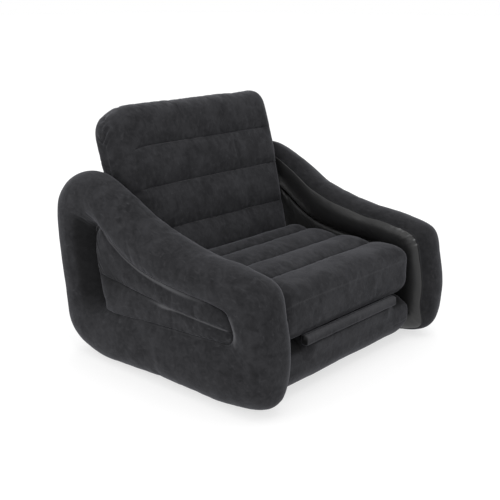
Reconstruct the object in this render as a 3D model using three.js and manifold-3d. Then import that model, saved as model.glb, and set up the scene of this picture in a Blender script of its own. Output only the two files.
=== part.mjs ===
// Inflatable pull-out chair: two S-curved arms, a leaning backrest, a bed base between the arms and
// a seat mattress that folds out over the front edge of the base. Every air chamber is modelled as its
// real sheets: an outer skin, an inner or lower skin and the webs welded inside along the creases.
// Millimetres, +Z up, the front faces -Y, the origin lies on the floor under the middle of the arms.
import * as THREE from 'three';
import { mergeVertices } from 'three/addons/utils/BufferGeometryUtils.js';
import Module from 'manifold-3d';

const wasm = await Module();
wasm.setup();

// Driving dimensions of the whole chair
const overallWidth = 1090;
const armLength = 1047;
const armHeight = 672;
const outerBulge = 85; // arm's middle plane to its outermost face
const innerBulge = 78; // arm's middle plane to its innermost face
const flockedWall = 0.9; // flocked sheet with its nap
const vinylWall = 0.6; // plain sheet
const webWall = 0.8;
const seatGap = 0.3; // between pieces that touch
const cutOverrun = 2;
const weldTolerance = 0.001;
const webGap = 0.4; // under a crease
const webMargin = 3; // short of the rounded sides
const spineMargin = 40; // the middle web ends short of the rim web

// The arm's rim tube
const recessDepthOuter = 34;
const recessDepthInner = 36;
const creaseDepth = 22; // middle crease below the tube's crest
const lobeDrop = 10; // crests of the lobes below the tube's crest
const floorFlat = 12; // how far the tubes settle on the floor
const seamAngle = 57; // flock wraps this far over the rim towards the seat
const halfColumns = 18; // columns round the upper half of an arm, and round the lower half

// The bed base
const baseFrontReach = 448; // front face, from the origin
const baseRearReach = 440;
const baseHeight = 196.5;
const baseWall = 40; // half height of the flat part of its end faces
const baseRound = 80;
const baseDip = 10;
const baseSideRound = 62;
const baseCornerRound = 30;
const baseSettle = 6; // how far the base flattens on the floor
const channelPitch = 150;
const firstCrease = 289; // foremost crease, in front of the origin

// The seat mattress
const seatThickness = 185;
const seatSideGap = 6;
const seatFrontWall = 37; // half height of the flat part of its front face
const seatFrontRound = 62;
const seatRearUpperRound = 50;
const seatRearLowerRound = 70;
const seatCreaseCount = 3;
const seatSettle = 4; // how far the mattress and the base flatten each other
const seatDip = 25;
const seatUndersideDip = 8;
const backClearance = 7; // seat's rear end to the crests of the backrest
const seatSideRound = 78; // how far each channel's end is rounded across the chair
const seatCornerRound = 36; // plan rounding of its corners

// The backrest
const backThickness = 180;
const backLength = 705;
const backTopWidth = 816; // above the arms
const backLean = 17.3;
const backDip = 18;
const backRearDip = 12;
const backTopRound = 78;
const backFootRound = 60;
const backSideRound = 72;
const backCornerRound = 45;
const backFootShare = 0.171; // of the arm's length, from the origin back to its middle plane at the foot
const backCreaseShares = [0.121, 0.336, 0.56, 0.771]; // along the backrest, from its foot

// The hinge of the mattress
const lipRadius = 17;
const lipHalfWidth = 267;
const flapWall = 1.2;
const hingeClearance = 0.6;
const hingeReach = 2.5; // axis ahead of the front faces
const ribHalfWidth = 3;
const flapWrapAngle = 48; // either side of its rib
const floorClearance = 1.5; // under the folded-out mattress
const wrapSteps = 10;

// The two air valves on the rear face of the base
const valveSpacing = 300;
const flangeRadius = 36;
const flangeThickness = 2.5;
const sleeveRadius = 24;
const sleeveWall = 2.4;
const sleeveDepth = 15;
const collarRadius = 31;
const collarThickness = 5;
const collarGrip = 1.6;
const gripCount = 12;
const stepsPerGrip = 4;
const insertDepth = 22;
const boreRadius = 10;
const plugClearance = 0.6;
const plugDepth = 4.5;
const plugWall = 1.4;
const capRadius = 15;
const capThickness = 2.2;
const capHingeOffset = 19; // hinge line above the valve's axis
const flapRadius = 13;
const flapThickness = 1.2;
const flapHingeOffset = 14.5;
const strapWidth = 8;
const livingHingeThickness = 0.6;
const tabLength = 7;
const tabThickness = 1.2;
const roundSteps = 24;
const portRadius = sleeveRadius + sleeveWall + seatGap;

// Shares that follow the sizes above
const crestShare = 0.5; // where the rim tube is thickest, from the outline to the recess
const outerLobeShares = [0.12, 0.35, 0.65, 0.88, 1]; // rows from the recess border to the middle crease
const innerLobeShares = [0.15, 0.5, 0.85, 1];
const lobePowerShare = 0.32; // steepness of the lobes across, 0.5 is an ellipse
const lobeEndShare = 0.2; // steepness of their ends
const creaseRearShare = 0.7; // inner bulge at the rear end of the middle crease
const widenedShare = 0.65; // of the backrest's length, where it has reached its top width
const cornerPowerShare = 0.72; // squareness of the rounded ends, 1 is an ellipse

// Stations of the arm, clockwise from the rear end of its foot seen from its outer side. Each row
// holds the outline's place and the recess border's place as shares of the arm's length and height,
// and shares of the outer recess depth and of the inner bulge. The arm is thinner beside the backrest.
const armStationShares = [
  [0.325, 0, 0.205, 0.304, 0.9, 1],
  [0, 0, 0.019, 0.319, 0.5, 1],
  [-0.325, 0, -0.267, 0.342, 0.5, 1],
  [-0.464, 0.077, -0.3457, 0.3538, 0.65, 1],
  [-0.4985, 0.26, -0.352, 0.395, 0.8, 1],
  [-0.485, 0.461, -0.344, 0.4415, 0.8, 1],
  [-0.453, 0.625, -0.325, 0.488, 0.75, 1],
  [-0.344, 0.682, -0.27, 0.51, 0.65, 1],
  [-0.2, 0.711, -0.158, 0.526, 0.65, 1],
  [-0.067, 0.756, -0.057, 0.545, 0.65, 1],
  [0.057, 0.827, 0.038, 0.573, 0.65, 0.9],
  [0.167, 0.926, 0.12, 0.621, 0.65, 0.7],
  [0.287, 0.9985, 0.196, 0.69, 0.75, 0.55],
  [0.411, 0.972, 0.258, 0.7485, 1.2, 0.55],
  [0.492, 0.851, 0.304, 0.7164, 1.7, 0.6],
  [0.4975, 0.64, 0.313, 0.6316, 1.9, 0.6],
  [0.477, 0.365, 0.302, 0.5, 1.9, 0.72],
  [0.447, 0.104, 0.272, 0.342, 1.5, 0.95],
];
const frontStation = 4.2; // station facing the front end of the middle crease
const rearStation = 15.9;
const spineFrontShares = [-0.3295, 0.409];
const spineRearShares = [0.2865, 0.497];

// Angles of the section rows, in degrees
const wrapAngles = [seamAngle, seamAngle / 2]; // on the inner face, from the seam to the outline
const rimAngles = [0, 26, 52, 90];
const innerRimAngles = [seamAngle, 70, 90];
const borderAngles = [50, 90];
const endAngles = [0, 32, 60, 90];
const creaseAngles = [0, 42, 90];
const sausageAngles = [90, 62, 32, 0];

const armMiddle = overallWidth / 2 - outerBulge;
const armInnerFace = armMiddle - innerBulge;
const radians = THREE.MathUtils.degToRad;

// Surface through rows of points, with every quad of an open one split from its outer corner. Points
// that coincide are merged and collapsed faces dropped.
function surfaceFrom(rows, closed) {
  const columns = rows[0].length;
  const spans = closed ? columns : columns - 1;
  const faces = [];
  for (let row = 0; row < rows.length - 1; row += 1) {
    for (let column = 0; column < spans; column += 1) {
      const here = row * columns + column;
      const beside = row * columns + (column + 1) % columns;
      const crossed = !closed && (row < rows.length / 2) !== (column < spans / 2);
      faces.push(here, beside, crossed ? here + columns : beside + columns);
      faces.push(crossed ? beside : here, beside + columns, here + columns);
    }
  }
  const open = new THREE.BufferGeometry().setFromPoints(rows.flat());
  open.setIndex(faces);
  const merged = mergeVertices(open, weldTolerance);
  const kept = [];
  for (let face = 0; face < merged.index.count; face += 3) {
    const corners = [0, 1, 2].map((corner) => merged.index.getX(face + corner));
    if (new Set(corners).size === 3) {
      kept.push(...corners);
    }
  }
  merged.setIndex(kept);
  return merged;
}

// Turns the faces so that they look away from a core point on average.
function faceAway(surface, core) {
  surface.computeVertexNormals();
  const { position, normal } = surface.attributes;
  const spot = new THREE.Vector3();
  const way = new THREE.Vector3();
  let outward = 0;
  for (let vertex = 0; vertex < position.count; vertex += 1) {
    spot.fromBufferAttribute(position, vertex).sub(core);
    way.fromBufferAttribute(normal, vertex);
    outward += spot.dot(way);
  }
  if (outward < 0) {
    surface.setIndex([...surface.index.array].reverse());
    surface.computeVertexNormals();
  }
  return surface;
}

// Gives a surface its wall on the inner side and closes it along its open edges.
function sheetFrom(rows, closed, core, wall) {
  const surface = faceAway(surfaceFrom(rows, closed), core);
  const { position, normal } = surface.attributes;
  const count = position.count;
  const spots = [];
  for (let vertex = 0; vertex < count; vertex += 1) {
    spots.push(new THREE.Vector3().fromBufferAttribute(position, vertex));
  }
  for (let vertex = 0; vertex < count; vertex += 1) {
    const way = new THREE.Vector3().fromBufferAttribute(normal, vertex);
    spots.push(spots[vertex].clone().addScaledVector(way, -wall));
  }
  const outer = surface.index.array;
  const faces = [...outer];
  const edges = new Map();
  for (let face = 0; face < outer.length; face += 3) {
    const corners = [outer[face], outer[face + 1], outer[face + 2]];
    faces.push(corners[2] + count, corners[1] + count, corners[0] + count);
    corners.forEach((from, corner) => {
      const to = corners[(corner + 1) % 3];
      if (!edges.delete(`${to} ${from}`)) {
        edges.set(`${from} ${to}`, [from, to]);
      }
    });
  }
  edges.forEach(([from, to]) => {
    faces.push(to, from, from + count);
    faces.push(to, from + count, to + count);
  });
  const sheet = new THREE.BufferGeometry().setFromPoints(spots);
  sheet.setIndex(faces);
  return sheet;
}

// Closed mesh to solid and back, for the cuts
function solidFrom(geometry) {
  const bare = geometry.clone();
  bare.deleteAttribute('normal');
  bare.deleteAttribute('uv');
  const merged = mergeVertices(bare, weldTolerance);
  return new wasm.Manifold(new wasm.Mesh({
    numProp: 3,
    vertProperties: merged.attributes.position.array,
    triVerts: new Uint32Array(merged.index.array),
  }));
}

function geometryFrom(solid) {
  const mesh = solid.getMesh();
  const geometry = new THREE.BufferGeometry();
  geometry.setAttribute('position', new THREE.BufferAttribute(mesh.vertProperties, 3));
  geometry.setIndex(new THREE.BufferAttribute(mesh.triVerts, 1));
  return geometry;
}

// Materials, one for each finish
const finishes = {
  flock: { color: 0x323236, roughness: 0.95, metalness: 0 },
  vinyl: { color: 0x141416, roughness: 0.3, metalness: 0 },
  web: { color: 0x4a4a50, roughness: 0.6, metalness: 0 },
  valve: { color: 0x1c1c1f, roughness: 0.4, metalness: 0 },
};

const chair = new THREE.Group();

function addPiece(name, geometry, finish, parent = chair) {
  const mesh = new THREE.Mesh(geometry, new THREE.MeshStandardMaterial(finishes[finish]));
  mesh.name = name;
  parent.add(mesh);
  return mesh;
}

// Arms. Both splines pass through the stations; a column joins a place on the outline to one on the
// border of the recess, and goes on to a place on the middle crease.
const outlineCurve = new THREE.CatmullRomCurve3(
  armStationShares.map(([along, up]) => new THREE.Vector3(0, along * armLength, up * armHeight)),
  true,
);
const borderCurve = new THREE.CatmullRomCurve3(
  armStationShares.map(([, , along, up]) => new THREE.Vector3(0, along * armLength, up * armHeight)),
  true,
);
const spineFront = new THREE.Vector3(0, spineFrontShares[0] * armLength, spineFrontShares[1] * armHeight);
const spineRear = new THREE.Vector3(0, spineRearShares[0] * armLength, spineRearShares[1] * armHeight);
const faceSigns = { outer: 1, inner: -1 };

const depthShares = armStationShares.map((station) => station.at(-2));
const bulgeShares = armStationShares.map((station) => station.at(-1));

// One of these shares at a fractional station
function shareAt(shares, station) {
  const before = Math.floor(station) % shares.length;
  const after = (before + 1) % shares.length;
  return THREE.MathUtils.lerp(shares[before], shares[after], station % 1);
}

function armColumns() {
  const stations = armStationShares.length;
  const columns = [];
  for (let step = 0; step < halfColumns * 2; step += 1) {
    const overTop = step < halfColumns;
    const share = overTop ? step / halfColumns : step / halfColumns - 1;
    const begin = overTop ? frontStation : rearStation;
    const end = overTop ? rearStation : frontStation + stations;
    const station = THREE.MathUtils.lerp(begin, end, share);
    const place = (station / stations) % 1;
    const towardsRear = overTop ? share : 1 - share;
    columns.push({
      outline: outlineCurve.getPoint(place),
      border: borderCurve.getPoint(place),
      spine: spineFront.clone().lerp(spineRear, towardsRear),
      fullness: Math.sin(Math.PI * towardsRear) ** lobeEndShare,
      outer: {
        bulge: outerBulge,
        creaseBulge: outerBulge,
        depth: recessDepthOuter * shareAt(depthShares, station),
      },
      inner: {
        bulge: innerBulge * shareAt(bulgeShares, station),
        creaseBulge: innerBulge * THREE.MathUtils.lerp(1, creaseRearShare, towardsRear),
        depth: recessDepthInner,
      },
    });
  }
  return columns;
}

// A point of the arm from its place in the side view and its distance from the middle plane, counted
// outwards. What would lie under the floor is settled on it.
function armPoint(side, place, outward) {
  const height = Math.max(place.z * (1 + floorFlat / armHeight) - floorFlat, 0);
  return new THREE.Vector3(side * (armMiddle + outward), place.y, height);
}

// Rows of one face of an arm: round the rim tube to its crest, down into the recess, and over a lobe
function rimRow(side, columns, angle, face) {
  const inwards = crestShare * (1 - Math.cos(radians(angle)));
  return columns.map((column) => {
    const outward = faceSigns[face] * column[face].bulge * Math.sin(radians(angle));
    return armPoint(side, column.outline.clone().lerp(column.border, inwards), outward);
  });
}

function borderRow(side, columns, angle, face) {
  const inwards = crestShare + (1 - crestShare) * Math.sin(radians(angle));
  return columns.map((column) => {
    const { bulge, depth } = column[face];
    const outward = faceSigns[face] * (bulge - depth * (1 - Math.cos(radians(angle))));
    return armPoint(side, column.outline.clone().lerp(column.border, inwards), outward);
  });
}

function lobeRow(side, columns, share, face) {
  const swell = (1 - (2 * share - 1) ** 2) ** lobePowerShare;
  return columns.map((column) => {
    const hump = swell * column.fullness;
    const bulge = THREE.MathUtils.lerp(column[face].bulge, column[face].creaseBulge, share);
    const groove = THREE.MathUtils.lerp(column[face].depth, creaseDepth, share);
    const outward = faceSigns[face] * (bulge - groove * (1 - hump) - lobeDrop * hump);
    return armPoint(side, column.border.clone().lerp(column.spine, share), outward);
  });
}

function armSkins(side) {
  const columns = armColumns();
  const outerRows = [
    ...wrapAngles.map((angle) => rimRow(side, columns, angle, 'inner')),
    ...rimAngles.map((angle) => rimRow(side, columns, angle, 'outer')),
    ...borderAngles.map((angle) => borderRow(side, columns, angle, 'outer')),
    ...outerLobeShares.map((share) => lobeRow(side, columns, share, 'outer')),
  ];
  const innerRows = [
    ...innerRimAngles.map((angle) => rimRow(side, columns, angle, 'inner')),
    ...borderAngles.map((angle) => borderRow(side, columns, angle, 'inner')),
    ...innerLobeShares.map((share) => lobeRow(side, columns, share, 'inner')),
  ];
  const core = new THREE.Vector3(side * armMiddle, 0, armHeight / 3);
  return { outerRows, innerRows, core, columns };
}

// Moves a point towards the next one, so that a skin stops a gap short of its neighbour
function drawnIn(spot, next, reach) {
  return spot.clone().addScaledVector(next.clone().sub(spot).normalize(), reach);
}

// How far a web reaches from the middle plane, to just short of a skin
function webReach(face, bulge, depth) {
  const wall = face === 'outer' ? flockedWall : vinylWall;
  return faceSigns[face] * (bulge - depth - wall - webGap);
}

// The middle web, narrower towards the rear, drawn with its length along X and its reach along Y
function middleWeb(side) {
  const front = armPoint(side, spineFront, 0);
  const along = armPoint(side, spineRear, 0).sub(front);
  const length = along.length();
  along.normalize();
  const outerEnd = webReach('outer', outerBulge, creaseDepth);
  const [near, far] = [spineMargin, length - spineMargin].map((place) => {
    const bulge = innerBulge * THREE.MathUtils.lerp(1, creaseRearShare, place / length);
    return [outerEnd, webReach('inner', bulge, creaseDepth)].map((reach) => new THREE.Vector2(place, reach));
  });
  const outline = new THREE.Shape([...near, ...far.reverse()]);
  const web = new THREE.ExtrudeGeometry(outline, { depth: webWall, bevelEnabled: false });
  web.translate(0, 0, -webWall / 2);
  const outwards = new THREE.Vector3(side, 0, 0);
  web.applyMatrix4(new THREE.Matrix4().makeBasis(along, outwards, along.clone().cross(outwards)));
  return web.translate(front.x, front.y, front.z);
}

function addArm(name, side) {
  const { outerRows, innerRows, core, columns } = armSkins(side);
  addPiece(`${name}_arm_outer_skin`, sheetFrom(outerRows, true, core, flockedWall), 'flock');
  const seam = innerRows[0].map((spot, column) => drawnIn(spot, innerRows[1][column], seatGap + vinylWall));
  const innerSkin = sheetFrom([seam, ...innerRows.slice(1)], true, core, vinylWall);
  addPiece(`${name}_arm_inner_skin`, innerSkin, 'vinyl');

  const ring = ['outer', 'inner'].map((face) => columns.map((column) => {
    const { bulge, depth } = column[face];
    return armPoint(side, column.border, webReach(face, bulge, depth));
  }));
  addPiece(`${name}_arm_rim_web`, sheetFrom(ring, true, core, webWall), 'web');
  addPiece(`${name}_arm_middle_web`, middleWeb(side), 'web');
}

addArm('left', -1);
addArm('right', 1);

// Chambers with channels. A section is a list of places along the chamber with their heights over its
// middle plane: one hump for each channel and a rounded corner at each end. A skin that carries the
// flat part of an end face starts on the far side of it.
function cornerRows({ wall, round, carriesWall }, height, place, inwards) {
  const corner = endAngles.map((angle) => ({
    place: place + inwards * round * (1 - Math.cos(radians(angle)) ** cornerPowerShare),
    height: wall + (height - wall) * Math.sin(radians(angle)) ** cornerPowerShare,
    dip: 0,
  }));
  return carriesWall ? [{ place, height: -wall, dip: 0 }, ...corner] : corner;
}

function humpRows(from, to, height, dip) {
  const half = (to - from) / 2;
  const rising = creaseAngles.map((angle) => ({
    place: from + half * (1 - Math.cos(radians(angle))),
    height,
    dip: dip * (1 - Math.sin(radians(angle))),
  }));
  const falling = rising.slice(0, -1).reverse();
  return [...rising, ...falling.map((row) => ({ ...row, place: from + to - row.place }))];
}

function sectionRows({ start, end, creases }, { height, dip, startCorner, endCorner }) {
  const firstCrest = start + startCorner.round;
  const lastCrest = end - endCorner.round;
  const foremost = creases[0];
  const rearmost = creases.at(-1);
  const afterCrest = humpRows(2 * firstCrest - foremost, foremost, height, dip);
  const beforeCrest = humpRows(rearmost, 2 * lastCrest - rearmost, height, dip);
  return [
    ...cornerRows(startCorner, height, start, 1),
    ...afterCrest.slice(creaseAngles.length),
    ...creases.slice(1).flatMap((crease, channel) => {
      return humpRows(creases[channel], crease, height, dip).slice(1);
    }),
    ...beforeCrest.slice(1, creaseAngles.length - 1),
    ...cornerRows(endCorner, height, end, -1).reverse(),
  ];
}

// Half width of a chamber at a place along it, which grows from its start until it is fully widened
function halfWidthAt({ start, end, halfWidth, widenedHalf }, place) {
  const share = THREE.MathUtils.clamp((place - start) / (end - start) / widenedShare, 0, 1);
  return THREE.MathUtils.lerp(halfWidth, widenedHalf, share);
}

// Lays a section out across the chair. Towards the sides the height runs down like the end of a
// sausage, and the creases stop where the rounding begins.
function skinRows(chamber, skin, sign) {
  const { start, end, sideRound, cornerRound } = chamber;
  const middle = (start + end) / 2;
  const rounded = sausageAngles.map((angle) => ({
    inset: sideRound * (1 - Math.sin(radians(angle))),
    fullness: Math.max(Math.cos(radians(angle)), 0) ** cornerPowerShare,
    creased: chamber.creasesReachSides || angle === 0 ? 1 : 0,
  }));
  rounded[0].fullness = 0;
  const stations = [
    ...rounded.map((station) => ({ ...station, way: -1 })),
    { way: 0, inset: 0, fullness: 1, creased: 1 },
    ...rounded.toReversed().map((station) => ({ ...station, way: 1 })),
  ];
  return sectionRows(chamber, skin).map(({ place, height, dip }) => {
    const halfWidth = halfWidthAt(chamber, place);
    return stations.map(({ way, inset, fullness, creased }) => {
      const drawn = 1 - 2 * cornerRound * (1 - fullness) / (end - start);
      const tall = Math.min(height - dip * creased, skin.limit) * fullness;
      const across = way * (halfWidth - inset);
      return new THREE.Vector3(across, middle + (place - middle) * drawn, sign * tall);
    });
  });
}

// Both skins of a chamber stop a gap short of each other at the weld.
function chamberSkin(chamber, skin, sign) {
  const rows = skinRows(chamber, skin, sign);
  rows.forEach((row, number) => {
    const atEnd = number === 0 || number === rows.length - 1;
    const edge = atEnd ? row : [row[0], row.at(-1)];
    edge.forEach((spot) => spot.setZ(spot.z + sign * (seatGap + flockedWall) / 2));
  });
  const core = new THREE.Vector3(0, (chamber.start + chamber.end) / 2, 0);
  return sheetFrom(rows, false, core, flockedWall);
}

// One web under each crease, upright between the two skins
function addWebs(name, chamber, parent) {
  const { creases, sideRound, upper, lower } = chamber;
  const top = Math.min(upper.height - upper.dip, upper.limit) - flockedWall - webGap;
  const bottom = -Math.min(lower.height - lower.dip, lower.limit) + flockedWall + webGap;
  creases.forEach((crease, number) => {
    const webLength = 2 * (halfWidthAt(chamber, crease) - sideRound - webMargin);
    const web = new THREE.BoxGeometry(webLength, webWall, top - bottom);
    web.translate(0, crease, (top + bottom) / 2);
    addPiece(`${name}_web_${number + 1}`, web, 'web', parent);
  });
}

// Bed base
const baseMiddle = baseHeight / 2;
const baseCreases = [];
for (let crease = -firstCrease; crease < baseRearReach - baseRound; crease += channelPitch) {
  baseCreases.push(crease);
}
const baseCorner = { wall: baseWall, round: baseRound };
const base = {
  start: -baseFrontReach,
  end: baseRearReach,
  creases: baseCreases,
  halfWidth: armInnerFace - seatGap,
  widenedHalf: armInnerFace - seatGap,
  sideRound: baseSideRound,
  cornerRound: baseCornerRound,
  creasesReachSides: true,
  upper: {
    height: baseMiddle + seatSettle,
    limit: baseMiddle,
    dip: baseDip,
    startCorner: { ...baseCorner, carriesWall: true },
    endCorner: baseCorner,
  },
  lower: {
    height: baseMiddle + baseSettle,
    limit: baseMiddle,
    dip: baseDip,
    startCorner: baseCorner,
    endCorner: baseCorner,
  },
};
const baseGroup = new THREE.Group();
baseGroup.position.z = baseMiddle;
chair.add(baseGroup);

addPiece('base_top_skin', chamberSkin(base, base.upper, 1), 'flock', baseGroup);
addPiece('base_bottom_skin', chamberSkin(base, base.lower, -1), 'flock', baseGroup);
addWebs('base', base, baseGroup);

// The flat rear panel of the base closes it between the two skins and carries the valves.
const valvePlaces = [-valveSpacing / 2, valveSpacing / 2];
const baseCore = new THREE.Vector3(0, (base.start + base.end) / 2, 0);
const panelRows = [
  skinRows(base, base.upper, 1).at(-1),
  skinRows(base, base.lower, -1).at(-1),
];
const panel = solidFrom(sheetFrom(panelRows, false, baseCore, flockedWall));
const portLength = 2 * (flockedWall + cutOverrun);
const ports = valvePlaces.map((across) => {
  const port = new THREE.CylinderGeometry(portRadius, portRadius, portLength, roundSteps);
  return solidFrom(port.translate(across, base.end, 0));
});
const ported = ports.reduce((sheet, port) => sheet.subtract(port), panel);
addPiece('base_rear_panel', geometryFrom(ported), 'flock', baseGroup);

// Backrest, built flat with its length along Y and its front up, then leaned back on the base
const backHalf = backThickness / 2;
const backFoot = backFootShare * armLength;
const back = {
  start: 0,
  end: backLength,
  creases: backCreaseShares.map((share) => share * backLength),
  halfWidth: armInnerFace - seatGap,
  widenedHalf: backTopWidth / 2,
  sideRound: backSideRound,
  cornerRound: backCornerRound,
  creasesReachSides: false,
  upper: {
    height: backHalf,
    limit: backHalf,
    dip: backDip,
    startCorner: { wall: 0, round: backFootRound },
    endCorner: { wall: 0, round: backTopRound },
  },
  lower: {
    height: backHalf,
    limit: backHalf,
    dip: backRearDip,
    startCorner: { wall: 0, round: backFootRound },
    endCorner: { wall: 0, round: backTopRound },
  },
};
const lean = radians(backLean);
const lowest = Math.min(...sectionRows(back, back.lower).map(({ place, height }) => {
  return place * Math.cos(lean) - height * Math.sin(lean);
}));
const backRise = baseHeight + seatGap - lowest;
const backGroup = new THREE.Group();
backGroup.position.set(0, backFoot, backRise);
backGroup.rotation.x = Math.PI / 2 - lean;
chair.add(backGroup);
addPiece('back_front_skin', chamberSkin(back, back.upper, 1), 'flock', backGroup);
addPiece('back_rear_skin', chamberSkin(back, back.lower, -1), 'flock', backGroup);
addWebs('back', back, backGroup);

// Seat mattress, reaching back to the crests of the leaning backrest
const seatMiddle = baseHeight + seatGap + seatThickness / 2;
const backCrestPlace = backFoot + (seatMiddle - backRise) * Math.tan(lean) - backHalf / Math.cos(lean);
const seatHalf = seatThickness / 2;
const seat = {
  start: -baseFrontReach,
  end: backCrestPlace - backClearance,
  creases: baseCreases.slice(0, seatCreaseCount),
  halfWidth: armInnerFace - seatSideGap,
  widenedHalf: armInnerFace - seatSideGap,
  sideRound: seatSideRound,
  cornerRound: seatCornerRound,
  creasesReachSides: true,
  upper: {
    height: seatHalf,
    limit: seatHalf,
    dip: seatDip,
    startCorner: { wall: seatFrontWall, round: seatFrontRound },
    endCorner: { wall: 0, round: seatRearUpperRound },
  },
  lower: {
    height: seatHalf + seatSettle,
    limit: seatHalf,
    dip: seatUndersideDip,
    startCorner: { wall: seatFrontWall, round: seatFrontRound, carriesWall: true },
    endCorner: { wall: 0, round: seatRearLowerRound },
  },
};
const seatGroup = new THREE.Group();
seatGroup.position.z = seatMiddle;
chair.add(seatGroup);
addPiece('seat_top_skin', chamberSkin(seat, seat.upper, 1), 'flock', seatGroup);
addPiece('seat_bottom_skin', chamberSkin(seat, seat.lower, -1), 'flock', seatGroup);
addWebs('seat', seat, seatGroup);

// Hinge of the mattress: a puffed lip on the base and a flap on the mattress that wraps it. Each is
// drawn in the side view and runs across the chair. The axis is as high as lets the folded-out
// mattress lie on its top.
const hingeFront = -(baseFrontReach + hingeReach);
const hingeHeight = (baseHeight + seatGap + seatThickness + floorClearance) / 2;
const sideways = new THREE.Matrix4().makeBasis(
  new THREE.Vector3(0, 1, 0),
  new THREE.Vector3(0, 0, 1),
  new THREE.Vector3(1, 0, 0),
);

function acrossChair(shape) {
  const depth = 2 * lipHalfWidth;
  const slab = new THREE.ExtrudeGeometry(shape, { depth, bevelEnabled: false, curveSegments: wrapSteps });
  slab.translate(0, 0, -lipHalfWidth);
  slab.applyMatrix4(sideways);
  slab.translate(0, hingeFront, hingeHeight);
  return slab;
}

// A rib that leaves the hinge at an angle, as two points on each of two radii
function ribEnds(angle, radius, halfWidth) {
  const spread = Math.asin(halfWidth / radius);
  return [angle - spread, angle + spread];
}

function onCircle(angle, radius) {
  return new THREE.Vector2(Math.cos(angle) * radius, Math.sin(angle) * radius);
}

function addCorners(shape, angles, radius) {
  angles.forEach((angle) => {
    const { x, y } = onCircle(angle, radius);
    shape.lineTo(x, y);
  });
}

// Nearest distance and direction from the hinge to a chamber's front corner
function nearestCorner(chamber, skin, sign, middle) {
  const rows = sectionRows(chamber, skin).slice(0, endAngles.length + 1);
  const spots = rows.map(({ place, height }) => {
    const tall = Math.min(height, skin.limit);
    return new THREE.Vector3(place - hingeFront, middle + sign * tall - hingeHeight, 0);
  });
  let nearest = spots[0];
  for (let edge = 1; edge < spots.length; edge += 1) {
    const line = new THREE.Line3(spots[edge - 1], spots[edge]);
    const spot = line.closestPointToPoint(new THREE.Vector3(), true, new THREE.Vector3());
    nearest = spot.length() < nearest.length() ? spot : nearest;
  }
  return { angle: Math.atan2(nearest.y, nearest.x), distance: nearest.length() };
}

const lipSeat = nearestCorner(base, base.upper, 1, baseMiddle);
const lipReach = lipSeat.distance - seatGap;
const [lipFrom, lipTo] = ribEnds(lipSeat.angle, lipRadius, ribHalfWidth);
const [lipEndFrom, lipEndTo] = ribEnds(lipSeat.angle, lipReach, ribHalfWidth);
const lipShape = new THREE.Shape();
lipShape.absarc(0, 0, lipRadius, lipTo, lipFrom + 2 * Math.PI, false);
addCorners(lipShape, [lipEndFrom, lipEndTo], lipReach);
lipShape.closePath();
addPiece('hinge_lip', acrossChair(lipShape), 'flock');

const flapSeat = nearestCorner(seat, seat.lower, -1, seatMiddle);
const flapInner = lipRadius + hingeClearance;
const flapOuter = flapInner + flapWall;
const flapReach = flapSeat.distance - seatGap;
const [flapFrom, flapTo] = ribEnds(flapSeat.angle, flapOuter, ribHalfWidth);
const [flapEndFrom, flapEndTo] = ribEnds(flapSeat.angle, flapReach, ribHalfWidth);
const wrap = radians(flapWrapAngle);
const flapShape = new THREE.Shape();
flapShape.absarc(0, 0, flapInner, flapSeat.angle + wrap, flapSeat.angle - wrap, true);
flapShape.absarc(0, 0, flapOuter, flapSeat.angle - wrap, flapFrom, false);
addCorners(flapShape, [flapEndFrom, flapEndTo], flapReach);
flapShape.absarc(0, 0, flapOuter, flapTo, flapSeat.angle + wrap, false);
flapShape.closePath();
addPiece('hinge_flap', acrossChair(flapShape), 'flock');

// Air valves. Each is drawn with its axis along +Y from the skin that it stands on, and its profiles
// run from the outer end to the inner one.
function turned(profile) {
  const points = profile.map(([radius, along]) => new THREE.Vector2(radius, along)).reverse();
  return solidFrom(new THREE.LatheGeometry(points, roundSteps));
}

function drum(radius, from, to) {
  return turned([[0, to], [radius, to], [radius, from], [0, from]]);
}

function block(width, from, to, low, high) {
  const box = new THREE.BoxGeometry(width, to - from, high - low);
  return solidFrom(box.translate(0, (from + to) / 2, (low + high) / 2));
}

const flangeTop = seatGap + flangeThickness;
const sleeveOuter = sleeveRadius + sleeveWall;
const collarBase = flangeTop + seatGap;
const collarTop = collarBase + collarThickness;
const insertRadius = sleeveRadius - seatGap;
const capBase = collarTop + seatGap;
const capTop = capBase + capThickness;
const plugRadius = boreRadius - plugClearance;
const hingeSkin = capBase + livingHingeThickness;

function collarSolid() {
  const outline = new THREE.Shape();
  for (let step = 0; step < gripCount * stepsPerGrip; step += 1) {
    const angle = step * 2 * Math.PI / (gripCount * stepsPerGrip);
    const radius = collarRadius - collarGrip / 2 * (1 - Math.cos(gripCount * angle));
    const { x, y } = onCircle(angle, radius);
    outline[step === 0 ? 'moveTo' : 'lineTo'](x, y);
  }
  outline.closePath();
  const collar = new THREE.ExtrudeGeometry(outline, { depth: collarThickness, bevelEnabled: false });
  return solidFrom(collar.rotateX(-Math.PI / 2).translate(0, collarBase, 0));
}

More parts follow.
